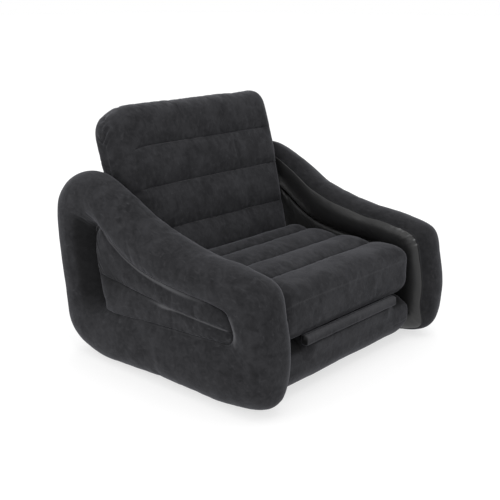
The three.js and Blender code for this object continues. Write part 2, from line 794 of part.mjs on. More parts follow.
function addValve(name, across) {
  const valve = new THREE.Group();
  valve.position.set(across, baseRearReach, baseMiddle);
  chair.add(valve);

  const flange = turned([
    [sleeveRadius, flangeTop],
    [flangeRadius - flangeThickness / 2, flangeTop],
    [flangeRadius, flangeTop - flangeThickness / 2],
    [flangeRadius, seatGap],
    [sleeveOuter, seatGap],
    [sleeveOuter, -sleeveDepth],
    [sleeveRadius, -sleeveDepth],
    [sleeveRadius, flangeTop],
  ]);
  addPiece(`${name}_valve_flange`, geometryFrom(flange), 'valve', valve);

  const barrelTop = collarBase + collarThickness / 2;
  const barrel = drum(insertRadius, -insertDepth, barrelTop);
  const bore = drum(boreRadius, -insertDepth - cutOverrun, collarTop + cutOverrun);
  const insert = barrel.add(collarSolid()).subtract(bore);
  addPiece(`${name}_valve_insert`, geometryFrom(insert), 'valve', valve);

  const flapTop = -insertDepth - seatGap;
  const flapBottom = flapTop - flapThickness;
  const disc = drum(flapRadius, flapBottom, flapTop);
  const tongue = block(strapWidth, flapBottom, flapTop, 0, flapHingeOffset);
  addPiece(`${name}_valve_flap`, geometryFrom(disc.add(tongue)), 'valve', valve);

  const cup = turned([
    [0, capTop],
    [capRadius - capThickness / 2, capTop],
    [capRadius, capTop - capThickness / 2],
    [capRadius, capBase],
    [plugRadius, capBase],
    [plugRadius, capBase - plugDepth],
    [plugRadius - plugWall, capBase - plugDepth],
    [plugRadius - plugWall, capBase],
    [0, capBase],
  ]);
  const ear = block(strapWidth, capBase, hingeSkin, capRadius - strapWidth / 2, capHingeOffset);
  const tabRoot = strapWidth / 2 - capRadius;
  const tab = block(strapWidth, capTop - tabThickness, capTop, -capRadius - tabLength, tabRoot);
  addPiece(`${name}_valve_cap`, geometryFrom(cup.add(ear).add(tab)), 'valve', valve);

  const strapFrom = capHingeOffset + seatGap;
  const strap = block(strapWidth, capBase, hingeSkin, strapFrom, collarRadius - collarGrip);
  addPiece(`${name}_cap_strap`, geometryFrom(strap), 'valve', valve);
}

addValve('frame', valvePlaces[0]);
addValve('bed', valvePlaces[1]);

export default chair;
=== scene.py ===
import math
import bmesh
import bpy
from mathutils import Matrix, Vector, noise


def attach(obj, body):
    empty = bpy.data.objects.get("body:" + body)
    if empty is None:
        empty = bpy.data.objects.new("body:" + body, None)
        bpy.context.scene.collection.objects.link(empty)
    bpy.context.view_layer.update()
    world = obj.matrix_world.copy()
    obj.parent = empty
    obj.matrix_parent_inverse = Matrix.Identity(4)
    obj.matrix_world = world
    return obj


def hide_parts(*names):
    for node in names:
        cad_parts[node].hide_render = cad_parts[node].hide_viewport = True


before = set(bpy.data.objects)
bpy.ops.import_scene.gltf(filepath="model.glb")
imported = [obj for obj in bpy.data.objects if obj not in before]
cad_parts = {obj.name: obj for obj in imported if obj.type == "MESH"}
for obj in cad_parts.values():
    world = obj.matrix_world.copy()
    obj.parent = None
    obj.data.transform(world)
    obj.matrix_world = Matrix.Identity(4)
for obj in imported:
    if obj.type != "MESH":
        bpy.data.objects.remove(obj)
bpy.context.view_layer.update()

print("stage: frame loaded,", len(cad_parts), "CAD nodes")


def addObject(name, data):
    made = bpy.data.objects.new(name, data)
    bpy.context.scene.collection.objects.link(made)
    return made


def aimAlong(thing, ahead):
    thing.rotation_mode = "QUATERNION"
    thing.rotation_quaternion = ahead.to_track_quat("-Z", "Y")


# Camera, at the angle and distance of the photograph
cameraValues = {
    "place": (-2.33483, -2.04594, 1.24987),
    "yaw": 41.5724,
    "pitch": 16.1499,
    "lens": 62.22,
    "sensor": 36,
}


def addCamera(values):
    data = bpy.data.cameras.new("camera")
    data.lens = values["lens"]
    data.sensor_width = values["sensor"]
    camera = addObject("camera", data)
    yaw, pitch = math.radians(values["yaw"]), math.radians(values["pitch"])
    camera.location = values["place"]
    aimAlong(camera, Vector((math.cos(yaw) * math.cos(pitch), math.sin(yaw) * math.cos(pitch), -math.sin(pitch))))
    bpy.context.scene.camera = camera


addCamera(cameraValues)


# Soft studio light: a white room and three large area lights
lightValues = {
    "room": (1.0, 1.0, 1.0, 1),
    "roomStrength": 1.0,
    "lights": [
        {"name": "overhead", "place": (-0.4, -0.9, 3.6), "aim": (0, 0, 0.3), "size": 2.6, "power": 32},
        {"name": "side", "place": (-3.4, 0.5, 1.9), "aim": (0, 0, 0.35), "size": 2.2, "power": 16},
        {"name": "rear", "place": (2.6, 3.0, 2.8), "aim": (0, 0, 0.4), "size": 2.4, "power": 30},
    ],
}


def addLights(values):
    world = bpy.data.worlds.new("room")
    bpy.context.scene.world = world
    world.use_nodes = True
    background = world.node_tree.nodes["Background"]
    background.inputs["Color"].default_value = values["room"]
    background.inputs["Strength"].default_value = values["roomStrength"]
    for light in values["lights"]:
        data = bpy.data.lights.new(light["name"], "AREA")
        data.shape = "DISK"
        data.size = light["size"]
        data.energy = light["power"]
        lamp = addObject(light["name"], data)
        lamp.location = light["place"]
        aimAlong(lamp, Vector(light["aim"]) - lamp.location)


addLights(lightValues)
bpy.context.scene.view_settings.view_transform = "Standard"


# A shader socket that takes part in sums
class Socket:
    def __init__(self, tree, socket):
        self.tree = tree
        self.socket = socket

    def maths(self, operation, first, second):
        return addNode(self.tree, "ShaderNodeMath", {"operation": operation}, {0: first, 1: second})

    def __add__(self, other):
        return self.maths("ADD", self, other)

    def __radd__(self, other):
        return self.maths("ADD", other, self)

    def __sub__(self, other):
        return self.maths("SUBTRACT", self, other)

    def __rsub__(self, other):
        return self.maths("SUBTRACT", other, self)

    def __mul__(self, other):
        return self.maths("MULTIPLY", self, other)


# One node: its settings are set first, then its sockets are given values or links
def addNode(tree, kind, settings, inputs, output=0):
    node = tree.nodes.new(kind)
    for name, value in settings.items():
        setattr(node, name, value)
    for name, value in inputs.items():
        if isinstance(value, Socket):
            tree.links.new(value.socket, node.inputs[name])
        else:
            node.inputs[name].default_value = value
    return Socket(tree, node.outputs[output])


def addNoise(tree, where, sizes):
    return addNode(tree, "ShaderNodeTexNoise", {}, {"Vector": where, **sizes})


def attributeOf(tree, kind):
    return addNode(tree, "ShaderNodeAttribute", {"attribute_name": kind}, {}, "Fac")


def mixed(tree, factor, first, second):
    return addNode(tree, "ShaderNodeMix", {"data_type": "RGBA"}, {
        "Factor": factor, "A": first, "B": second}, "Result")


def startMaterial(name):
    material = bpy.data.materials.new(name)
    material.use_nodes = True
    tree = material.node_tree
    tree.nodes.clear()
    where = addNode(tree, "ShaderNodeTexCoord", {}, {}, "Object")
    return material, tree, where


def endMaterial(tree, surface, bump):
    normal = addNode(tree, "ShaderNodeBump", {}, bump)
    shader = addNode(tree, "ShaderNodeBsdfPrincipled", {}, {**surface, "Normal": normal})
    out = tree.nodes.new("ShaderNodeOutputMaterial")
    tree.links.new(shader.socket, out.inputs["Surface"])


# Charcoal flock: blotches where the nap lies differently, brush marks, grain and a soft sheen. Painted shade
# darkens deep grooves and hidden sides, and painted highlights lighten the welded lines and the ridges beside
# them.
flockValues = {
    "dark": (0.0108, 0.0108, 0.0120, 1),
    "light": (0.0280, 0.0280, 0.0306, 1),
    "fleck": (0.038, 0.038, 0.041, 1),
    # Painted shade colour, for deep grooves, the hollow of the recess and hidden sides
    "flat": (0.0036, 0.0036, 0.0038, 1),
    # Painted highlight colour, for the welded lines, the ridges beside them, the seams and the roll's top
    "paintedLight": (0.085, 0.085, 0.090, 1),
    "noises": {
        "blotch": {"Scale": 11, "Detail": 2, "Distortion": 0.8},
        "patch": {"Scale": 34, "Detail": 3, "Distortion": 1.2},
        "stroke": {"Scale": 120, "Detail": 3, "Distortion": 0.8},
        "grain": {"Scale": 620, "Detail": 2, "Distortion": 0},
    },
    "strokeLie": {"Rotation": (0.5, 0.3, 0.6), "Scale": (1, 0.3, 0.55)},
    "nap": {"blotch": 0.7, "patch": 0.7, "stroke": 0.4, "grain": 0.2},
    "napRange": {"From Min": 0.62, "From Max": 1.38},
    "fleckRange": {"From Min": 0.62, "From Max": 0.76, "To Max": 0.6},
    "roughness": 0.99,
    "weldGloss": 0.25,
    "napGloss": 0.06,
    "relief": {"grain": 0.5, "stroke": 0.4, "patch": 0.6},
    "bump": {"Strength": 0.5, "Distance": 0.0014},
    "sheen": {
        "Specular IOR Level": 0.15,
        "Sheen Weight": 0.15,
        "Sheen Roughness": 0.40,
        "Sheen Tint": (0.80, 0.81, 0.90, 1),
    },
}


# Sum of the noises, each with its share
def blended(noises, shares):
    first, *others = (noises[kind] * share for kind, share in shares.items())
    return sum(others, first)


def makeFlock(name, values):
    material, tree, where = startMaterial(name)
    combed = addNode(tree, "ShaderNodeMapping", {}, {"Vector": where, **values["strokeLie"]})
    noises = {kind: addNoise(tree, combed if kind == "stroke" else where, sizes)
              for kind, sizes in values["noises"].items()}
    level = addNode(tree, "ShaderNodeMapRange", {"interpolation_type": "SMOOTHSTEP"}, {
        "Value": blended(noises, values["nap"]), **values["napRange"]})
    fleck = addNode(tree, "ShaderNodeMapRange", {}, {"Value": noises["stroke"], **values["fleckRange"]})
    # Painted highlights and painted shade come from the two attributes and are mixed into the colour last
    paintedLight, flat = attributeOf(tree, "paintedLight"), attributeOf(tree, "shade")
    colour = values["dark"]
    for factor, kind in ((level, "light"), (fleck, "fleck"), (flat, "flat"), (paintedLight, "paintedLight")):
        colour = mixed(tree, factor, colour, values[kind])
    endMaterial(tree, {
        "Base Color": colour,
        "Roughness": values["roughness"] - paintedLight * values["weldGloss"] - level * values["napGloss"],
        **values["sheen"],
    }, {"Height": blended(noises, values["relief"]), **values["bump"]})
    return material


# Glossy black sheet, with faint ripples and a fine pressed grain. Painted glints at the puckers, and painted shade
# under the tube, which is also duller there.
vinylValues = {
    "dark": (0.0075, 0.0075, 0.0078, 1),
    "light": (0.0125, 0.0125, 0.0130, 1),
    # Painted shade colour under the tube
    "shadeUnderTube": (0.0022, 0.0022, 0.0022, 1),
    "glint": (0.22, 0.22, 0.225, 1),
    "noises": {
        "ripple": {"Scale": 9, "Detail": 2, "Distortion": 0.6},
        "smear": {"Scale": 34, "Detail": 4, "Distortion": 1.2},
        "grain": {"Scale": 1100, "Detail": 1},
    },
    "roughness": 0.40,
    "smearDull": 0.14,
    "underDull": 0.22,
    "coat": 0.10,
    "coatRoughness": 0.2,
    "relief": {"ripple": 1.0, "smear": 0.12, "grain": 0.012},
    "bump": {"Strength": 0.6, "Distance": 0.004},
}


def makeVinyl(name, values):
    material, tree, where = startMaterial(name)
    noises = {kind: addNoise(tree, where, sizes) for kind, sizes in values["noises"].items()}
    # Painted glints and painted shade under the tube are mixed into the colour
    glint, shadeUnderTube = attributeOf(tree, "paintedLight"), attributeOf(tree, "shade")
    colour = values["dark"]
    for factor, kind in ((noises["smear"], "light"), (shadeUnderTube, "shadeUnderTube"), (glint, "glint")):
        colour = mixed(tree, factor, colour, values[kind])
    endMaterial(tree, {
        "Base Color": colour,
        "Roughness": values["roughness"] + noises["smear"] * values["smearDull"] + shadeUnderTube * values["underDull"],
        "Coat Weight": values["coat"] - shadeUnderTube * values["coat"],
        "Coat Roughness": values["coatRoughness"],
    }, {"Height": blended(noises, values["relief"]), **values["bump"]})
    return material


# Plain dull sheet of the inner webs, and satin moulded plastic of the valves
plainValues = {
    "web": {"dark": (0.06, 0.06, 0.066, 1), "light": (0.085, 0.085, 0.092, 1), "roughness": 0.5, "scale": 60},
    "valve": {"dark": (0.0095, 0.0095, 0.0105, 1), "light": (0.015, 0.015, 0.016, 1),
              "roughness": 0.34, "scale": 240},
    "cloudDetail": 4,
    "fineTimes": 12,
    "fineDetail": 2,
    "cloudDull": 0.16,
    "bump": {"Strength": 0.35, "Distance": 0.0004},
}


def makePlain(name, kind, values):
    material, tree, where = startMaterial(name)
    sheet = values[kind]
    cloud = addNoise(tree, where, {"Scale": sheet["scale"], "Detail": values["cloudDetail"]})
    fine = addNoise(tree, where, {"Scale": sheet["scale"] * values["fineTimes"], "Detail": values["fineDetail"]})
    endMaterial(tree, {
        "Base Color": mixed(tree, cloud, sheet["dark"], sheet["light"]),
        "Roughness": sheet["roughness"] + cloud * values["cloudDull"],
    }, {"Height": fine + cloud, **values["bump"]})
    return material


flock = makeFlock("flocked_sheet", flockValues)
vinyl = makeVinyl("gloss_vinyl", vinylValues)
webSheet = makePlain("inner_web", "web", plainValues)
valvePlastic = makePlain("valve_plastic", "valve", plainValues)
print("stage: materials made")


# Floor, which glows a little so that it is as white as the room
floorValues = {
    "size": 60,
    "colour": (0.36, 0.36, 0.36, 1),
    "roughness": 0.8,
    "cloudScale": 3,
    "cloudDull": 0.1,
    "glow": {"Emission Color": (1, 1, 1, 1), "Emission Strength": 0.66},
    "bump": {"Strength": 0.02, "Distance": 0.001},
}


def addFloor(values):
    shape = bmesh.new()
    bmesh.ops.create_grid(shape, x_segments=1, y_segments=1, size=values["size"])
    mesh = bpy.data.meshes.new("floor")
    shape.to_mesh(mesh)
    shape.free()
    floor = addObject("floor", mesh)
    material, tree, where = startMaterial("pale_floor")
    cloud = addNoise(tree, where, {"Scale": values["cloudScale"]})
    endMaterial(tree, {
        "Base Color": values["colour"],
        "Roughness": values["roughness"] + cloud * values["cloudDull"],
        **values["glow"],
    }, {"Height": cloud, **values["bump"]})
    mesh.materials.append(material)


addFloor(floorValues)


def clamped(share):
    return min(max(share, 0), 1)


def eased(share):
    share = clamped(share)
    return share * share * (3 - 2 * share)


def bell(away, reach):
    return math.exp(-(away / reach) ** 2)


# Sheets are laid out as a grid, put in place vertex by vertex and then lifted along their normals.
# Two attributes go to the material: painted light, along the welded lines, the ridges beside them and the glints,
# and painted shade, in hollows, grooves and hidden sides.
# A third one, held, marks the points that stay in place when air is let in.
layerNames = ("lift", "paintedLight", "shade", "held")
mergeWithin = 0.00002


def layGrid(shape, rows, columns, place):
    layers = [shape.verts.layers.float[name] for name in layerNames]
    made = bmesh.ops.create_grid(shape, x_segments=rows - 1, y_segments=columns - 1, size=1)["verts"]
    for vertex in made:
        row = round((vertex.co.x + 1) / 2 * (rows - 1))
        column = round((vertex.co.y + 1) / 2 * (columns - 1))
        vertex.co, *marks = place(row, column)
        for layer, mark in zip(layers, marks):
            vertex[layer] = mark


def startShape():
    shape = bmesh.new()
    for name in layerNames:
        shape.verts.layers.float.new(name)
    return shape


def endShape(shape, name, material, outFrom, inPlace=Matrix.Identity(4)):
    lift = shape.verts.layers.float["lift"]
    bmesh.ops.remove_doubles(shape, verts=shape.verts, dist=mergeWithin)
    bmesh.ops.recalc_face_normals(shape, faces=shape.faces)
    facing = sum((face.calc_center_median() - Vector(outFrom)).dot(face.normal) for face in shape.faces)
    if facing < 0:
        bmesh.ops.reverse_faces(shape, faces=shape.faces)
    shape.normal_update()
    for vertex in shape.verts:
        vertex.co += vertex.normal * vertex[lift]
    shape.transform(inPlace)
    for vertex in shape.verts:
        vertex.co.z = max(vertex.co.z, 0)
    for face in shape.faces:
        face.smooth = True
    mesh = bpy.data.meshes.new(name)
    shape.to_mesh(mesh)
    shape.free()
    mesh.materials.append(material)
    return addObject(name, mesh)


def addWall(piece, thickness, offset):
    wall = piece.modifiers.new("wall", "SOLIDIFY")
    wall.thickness = thickness
    wall.offset = offset


# Air is let into a piece as cloth: its sheet has some slack and buckles between the welds that hold it.
# The cap is the furthest that a point can move.
airValues = {
    "frames": 8,
    "quality": 4,
    "pressure": 4,
}


def letAirIn(piece, slack, cap, values=airValues):
    mesh = piece.data
    start = [vertex.co.copy() for vertex in mesh.vertices]
    held = piece.vertex_groups.new(name="held")
    for index, mark in enumerate(mesh.attributes["held"].data):
        held.add([index], mark.value, "REPLACE")
    cloth = piece.modifiers.new("air", "CLOTH")
    settings = cloth.settings
    settings.vertex_group_mass = "held"
    settings.use_pressure = True
    settings.uniform_pressure_force = values["pressure"]
    settings.shrink_min = -slack
    settings.effector_weights.gravity = 0
    settings.quality = values["quality"]
    cloth.collision_settings.use_collision = False
    scene = bpy.context.scene
    for number in range(1, values["frames"] + 1):
        scene.frame_set(number)
    swollen = piece.evaluated_get(bpy.context.evaluated_depsgraph_get()).data
    ends = [vertex.co.copy() for vertex in swollen.vertices]
    piece.modifiers.remove(cloth)
    piece.vertex_groups.remove(held)
    scene.frame_set(1)
    for vertex, begin, end in zip(mesh.vertices, start, ends):
        move = end - begin
        vertex.co = begin + move * (cap / (cap + move.length))
        vertex.co.z = max(vertex.co.z, 0)


# How the small folds beside a weld are spread: their peak is a third of their reach from the weld,
# and their strength changes slowly along it
foldValues = {
    "peaks": 3,
    "depthTimes": 1.5,
    "strength": 0.55,
    "change": 0.9,
    "changeTimes": 5,
    "changePlace": 4.2,
    "least": 0.1,
}


# Height of the folds at a point. The size of folds is their pitch, reach and height.
def fold(along, away, size, seed, share=1):
    values = foldValues
    pitch, reach, height = size
    near = values["peaks"] * away / reach
    swell = near * math.exp(1 - near)
    wave = noise.noise(Vector((along / pitch, away / (reach * values["depthTimes"]), seed)))
    change = noise.noise(Vector((along / (pitch * values["changeTimes"]), seed, values["changePlace"])))
    strength = max(values["strength"] + values["change"] * change, values["least"])
    return height * share * swell * wave * strength


# Height of the broad waves at a point, each wave given as its size, height and place among the seeds
def unevenness(spot, waves, seed):
    return sum(height * noise.noise(Vector((spot.x / size + (seed + further), spot.y / size, spot.z / size)))
               for size, height, further in waves)


# Arms. The outline and the border of the recess pass through the stations, which go clockwise from
# the rear end of the foot. Each has two places along and up, and shares of depth and inner bulge.
armValues = {
    "length": 1.047,
    "height": 0.672,
    "middle": 0.46,
    "coreShare": 1 / 3,
    "outerBulge": 0.085,
    "innerBulge": 0.078,
    "outerDepth": 0.034,
    "innerDepth": 0.036,
    "creaseDepth": 0.022,
    "lobeDrop": 0.010,
    "lobePower": 0.32,
    "rearLobePower": 0.46,
    "rearSlope": 0.65,
    "rearDepth": {"from": 0.9, "run": 0.8},
    "lobeEnd": 0.2,
    "creaseRear": 0.7,
    "floorFlat": 0.003,
    "floorAway": 0.05,
    "seamAngle": 57,
    "seamSink": {"from": 18.6, "to": 21.6, "run": 0.9, "angle": 34},
    "seamDip": 0.0012,
    "crest": 0.5,
    "halfColumns": 210,
    "turnReach": 6,
    "rimSteps": {"outer": 30, "inner": 14},
    "rimReach": {"outer": 0.25, "inner": 0.05},
    "panelSteps": 24,
    "floorSteps": 5,
    "frontStation": 4.2,
    "rearStation": 15.9,
    "creaseFrontPlace": (-0.3295, 0.409),
    "creaseRearPlaces": {"outer": (0.2540, 0.4965), "inner": (0.2865, 0.497)},
    "creaseSag": 0.009,
    "heldWithin": 0.003,
    "airSlack": 0.008,
    "airCap": 0.004,
    "walls": {"outer": 0.0009, "inner": 0.0006},
    "seeds": {"left": 11.3, "right": 27.9, "inner": 5.1},
    "waves": ((0.11, 0.0022, 0), (0.035, 0.0006, 2)),
    "folds": {
        "outer": (0.015, 0.055, 0.0016),
        "inner": (0.015, 0.055, 0.0030),
        "border": (0.022, 0.05, 0.0009),
        "crease": (0.02, 0.05, 0.0012),
        "ruffle": (0.016, 0.09, 0.0042),
        "rim": (0.025, 0.07, 0.0012),
    },
    "foldEase": 0.04,
    "foldTurn": {"from": 4.5, "least": 0.12},
    "ruffled": {"from": 13.6, "to": 16.6},
    "glint": {"from": 5.3, "to": 7.2, "pitch": 0.006, "depth": 0.02, "over": 0.1, "gain": 2.4,
              "reach": 0.014, "height": 0.0012},
    "underPower": 2.2,
    "light": {"from": (0, 0.55, 0.83), "frontLit": 0.13, "show": 0.85,
              "over": 0.8, "overReach": 0.004,
              "below": 0.15, "belowPlace": 0.0085, "belowReach": 0.0032,
              "frontPlace": 0.030, "frontReach": 0.012,
              "besidePlace": 0.007, "besideReach": 0.0035, "crease": 1.3,
              "seam": 0.3, "seamReach": 0.0016},
    "shade": {"hollow": 0.7, "hollowFrom": 0.004, "hollowRun": 0.018,
              "crease": 0.12, "creaseReach": 0.003,
              "inner": 0.42, "innerFrom": 0.3, "innerRun": 1.1},
    # Shifts from the border of the recess to the rear edge of its lobes: station, along and up
    "edgeShifts": [(12.6, 0, 0), (13, -0.008, -0.003), (13.5, -0.015, -0.014), (14, -0.021, -0.011),
                   (15, -0.030, -0.004), (16, -0.037, 0), (17, -0.028, -0.001), (17.4, -0.015, -0.014),
                   (17.7, -0.008, -0.009), (18, 0, -0.004), (18.4, 0, 0)],
    "stations": [
        (0.325, 0, 0.205, 0.304, 0.9, 1),
        (0, 0, 0.019, 0.319, 0.5, 1),
        (-0.325, 0, -0.267, 0.342, 0.5, 1),
        (-0.4690, 0.0715, -0.3457, 0.3538, 0.65, 1),
        (-0.4985, 0.26, -0.352, 0.395, 0.8, 1),
        (-0.485, 0.461, -0.344, 0.4415, 0.8, 1),
        (-0.453, 0.625, -0.325, 0.488, 0.75, 1),
        (-0.344, 0.682, -0.27, 0.51, 0.65, 1),
        (-0.2, 0.711, -0.158, 0.526, 0.65, 1),
        (-0.067, 0.756, -0.057, 0.545, 0.65, 1),
        (0.057, 0.827, 0.038, 0.573, 0.65, 0.9),
        (0.167, 0.926, 0.12, 0.621, 0.65, 0.7),
        (0.287, 0.9985, 0.196, 0.69, 0.75, 0.55),
        (0.411, 0.972, 0.258, 0.7485, 1.2, 0.55),
        (0.492, 0.851, 0.304, 0.7164, 1.7, 0.6),
        (0.4975, 0.64, 0.313, 0.6316, 1.9, 0.6),
        (0.477, 0.365, 0.302, 0.5, 1.9, 0.72),
        (0.447, 0.104, 0.272, 0.342, 1.5, 0.95),
    ],
}


# Point of a closed smooth curve through the points, at a station counted from the first one
def curvePoint(points, station):
    count = len(points)
    span = int(math.floor(station))
    share = station - span
    before, here, after, beyond = (points[(span + step) % count] for step in (-1, 0, 1, 2))
    first, middle, last = ((b - a).length ** 0.5 for a, b in ((before, here), (here, after), (after, beyond)))
    leaving = ((here - before) / first - (after - before) / (first + middle) + (after - here) / middle) * middle
    arriving = ((after - here) / middle - (beyond - here) / (middle + last) + (beyond - after) / last) * middle
    square, cube = share ** 2, share ** 3
    return (here * (2 * cube - 3 * square + 1) + leaving * (cube - 2 * square + share)
            + after * (3 * square - 2 * cube) + arriving * (cube - square))


def sidePoint(values, along, up):
    return Vector((0, along * values["length"], up * values["height"]))


def edgeShift(values, station):
    shifts = values["edgeShifts"]
    station += len(values["stations"]) if station < shifts[0][0] - 1 else 0
    for (before, *near), (after, *far) in zip(shifts, shifts[1:]):
        if before <= station <= after:
            return Vector((0, *near)).lerp(Vector((0, *far)), (station - before) / (after - before))
    return Vector((0, 0, 0))


# The arm's section at each of the columns, which go over the top to the rear and back along the foot
def armColumns(values):
    stations = values["stations"]
    outline = [sidePoint(values, *station[:2]) for station in stations]
    border = [sidePoint(values, *station[2:4]) for station in stations]
    creaseFront, outerRear, innerRear = (
        sidePoint(values, *place) for place in (values["creaseFrontPlace"], *values["creaseRearPlaces"].values()))
    ruffled, sink, glint = values["ruffled"], values["seamSink"], values["glint"]
    columns = []
    half = values["halfColumns"]
    run = 0.0
    for step in range(2 * half + 1):
        overTop = step < half
        share = step / half if overTop else step / half - 1
        begin = values["frontStation"] if overTop else values["rearStation"]
        end = values["rearStation"] if overTop else values["frontStation"] + len(stations)
        station = begin + (end - begin) * share
        towardsRear = share if overTop else 1 - share
        before = int(station) % len(stations)
        after = (before + 1) % len(stations)
        part = station - int(station)
        depth, inner = (stations[before][kind] * (1 - part) + stations[after][kind] * part for kind in (4, 5))
        middle = math.sin(math.pi * towardsRear)
        sag = Vector((0, 0, values["creaseSag"] * middle))
        ruffling = clamped((station - ruffled["from"]) / (ruffled["to"] - ruffled["from"]))
        sinking = eased(min(station - sink["from"], sink["to"] - station) / sink["run"])
        column = {
            "outline": curvePoint(outline, station),
            "border": curvePoint(border, station),
            "outer": {"bulge": values["outerBulge"], "creaseBulge": values["outerBulge"],
                      "crease": creaseFront.lerp(outerRear, towardsRear) - sag,
                      "depth": values["outerDepth"] * depth},
            "inner": {"bulge": values["innerBulge"] * inner, "depth": values["innerDepth"],
                      "crease": creaseFront.lerp(innerRear, towardsRear) - sag,
                      "creaseBulge": values["innerBulge"] * (1 + (values["creaseRear"] - 1) * towardsRear)},
            "shift": edgeShift(values, station),
            "seam": values["seamAngle"] - sink["angle"] * sinking,
            "corner": min(max(station - glint["from"], 0), max(glint["to"] - station, 0), 1),
            "fullness": max(middle, 0) ** values["lobeEnd"],
            "front": max(1 - towardsRear / values["light"]["frontLit"], 0) ** 0.5,
            "rear": clamped((depth - values["rearDepth"]["from"]) / values["rearDepth"]["run"]),
            "ruffled": max(math.sin(math.pi * ruffling), 0),
        }
        if columns:
            run += (column["outline"] - columns[-1]["outline"]).length
        column["run"] = run
        columns.append(column)
    reach = values["turnReach"]
    for index, column in enumerate(columns):  # how tightly the outline turns here
        behind, here, ahead = (columns[(index + move) % (2 * half)]["outline"] for move in (-reach, 0, reach))
        column["turn"] = (ahead - here).angle(here - behind, 0) / max((ahead - here).length, 0.001)
    return columns


# Rows of an arm skin: round the rim from the seam between flock and vinyl to the crest, down to the
# border of the recess, and over the lobes to the middle crease
def armRows(values, kind):
    steps, reach = values["rimSteps"][kind], values["rimReach"][kind]
    rows = [{"kind": "rim", "share": step / steps, "away": step / steps * reach} for step in range(steps + 1)]
    steps = values["panelSteps"]
    rows += [{"kind": "border", "angle": math.radians(90 * step / steps)} for step in range(1, steps + 1)]
    if kind == "outer":
        flats = values["floorSteps"]
        rows += [{"kind": "floor", "share": step / flats} for step in range(1, flats + 1)]
    rows += [{"kind": "lobe", "share": 0.5 - 0.5 * math.cos(math.pi * step / steps)}
             for step in range(1, steps + 1)]
    return rows


# Where a vertex of an arm skin lies before its folds: place in the side view, distance outwards from
# the arm's middle plane, and distances to the rim seam, the recess border and the crease. A distance
# that plays no part in a row is given as a metre.
def armSpot(values, row, column, flocked):
    face = column["outer" if flocked else "inner"]
    sign = 1 if flocked else -1
    outline, border, crease = column["outline"], column["border"], face["crease"]
    if row["kind"] == "rim":
        begin = -column["seam"] if flocked else column["seam"]
        angle = math.radians(begin + (90 - begin) * row["share"])
        bulge = column["inner" if angle < 0 else "outer"]["bulge"] if flocked else face["bulge"]
        inwards = values["crest"] * (1 - math.cos(angle))
        return outline.lerp(border, inwards), sign * bulge * math.sin(angle), row["away"], 1, 1
    if row["kind"] == "border":
        slope = 1 + values["rearSlope"] * column["rear"] if flocked else 1
        inwards = values["crest"] + (1 - values["crest"]) * math.sin(row["angle"]) ** slope
        drop = 1 - max(math.cos(row["angle"]), 0) ** slope
        away = (border - outline).length * (1 - inwards) + face["depth"] * (1 - drop)
        return outline.lerp(border, inwards), sign * (face["bulge"] - face["depth"] * drop), 1, away, 1
    share = row["share"]
    edge = border + column["shift"] if flocked else border
    if row["kind"] == "floor":
        return border.lerp(edge, share), sign * (face["bulge"] - face["depth"]), 1, values["floorAway"], 1
    power = values["lobePower"]
    if flocked:
        power += (values["rearLobePower"] - power) * column["rear"]
    hump = max(1 - (2 * share - 1) ** 2, 0) ** power * column["fullness"]
    bulge = face["bulge"] + (face["creaseBulge"] - face["bulge"]) * share
    groove = face["depth"] + (values["creaseDepth"] - face["depth"]) * share
    width = (crease - edge).length
    outward = sign * (bulge - groove * (1 - hump) - values["lobeDrop"] * hump)
    return edge.lerp(crease, share), outward, 1, share * width, (1 - share) * width


# How strongly light from above catches the ridge beside a weld of the recess
def ridgeLight(light, row, column, borderAway, creaseAway):
    facing = (column["border"] - column["outer"]["crease"]).normalized().dot(Vector(light["from"]))
    above, below = max(facing, 0) * (1 - column["rear"]), max(-facing, 0)
    if row["kind"] == "border":
        return (light["below"] * below * bell(borderAway - light["belowPlace"], light["belowReach"])
                + column["front"] * bell(borderAway - light["frontPlace"], light["frontReach"])
                + light["over"] * above * bell(borderAway, light["overReach"]))
    atBorder, atCrease = (bell(max(away - light["besidePlace"], 0), light["besideReach"])
                          for away in (borderAway, creaseAway))
    return above * atBorder + light["crease"] * below * atCrease


# Light and shade of the flock: light at the welds, shade in the hollow at the recess' rear end, along
# the crease and on the rim's side towards the seat
def flockMarks(values, row, column, outward, seamAway, borderAway, creaseAway):
    light, shade = values["light"], values["shade"]
    paintedLight = min(ridgeLight(light, row, column, borderAway, creaseAway), 1)
    paintedLight = max(paintedLight * light["show"], light["seam"] * bell(seamAway, light["seamReach"]))
    hollow = turned = 0
    if row["kind"] == "rim":
        turned = clamped((shade["innerFrom"] - outward / values["innerBulge"]) / shade["innerRun"])
    else:
        sunk = column["outer"]["bulge"] - abs(outward) - shade["hollowFrom"]
        hollow = eased(sunk / shade["hollowRun"]) * column["rear"]
    grooved = shade["crease"] * bell(creaseAway, shade["creaseReach"])
    return paintedLight, max(shade["hollow"] * hollow, grooved, shade["inner"] * turned)


# Glints of the vinyl's puckers, at the seam's upper front corner
def vinylGlint(glint, column, run, seamAway, seed):
    wave = noise.noise(Vector((run / glint["pitch"], seamAway / glint["depth"], seed)))
    return max(wave - glint["over"], 0) * glint["gain"] * column["corner"] * bell(seamAway, glint["reach"])


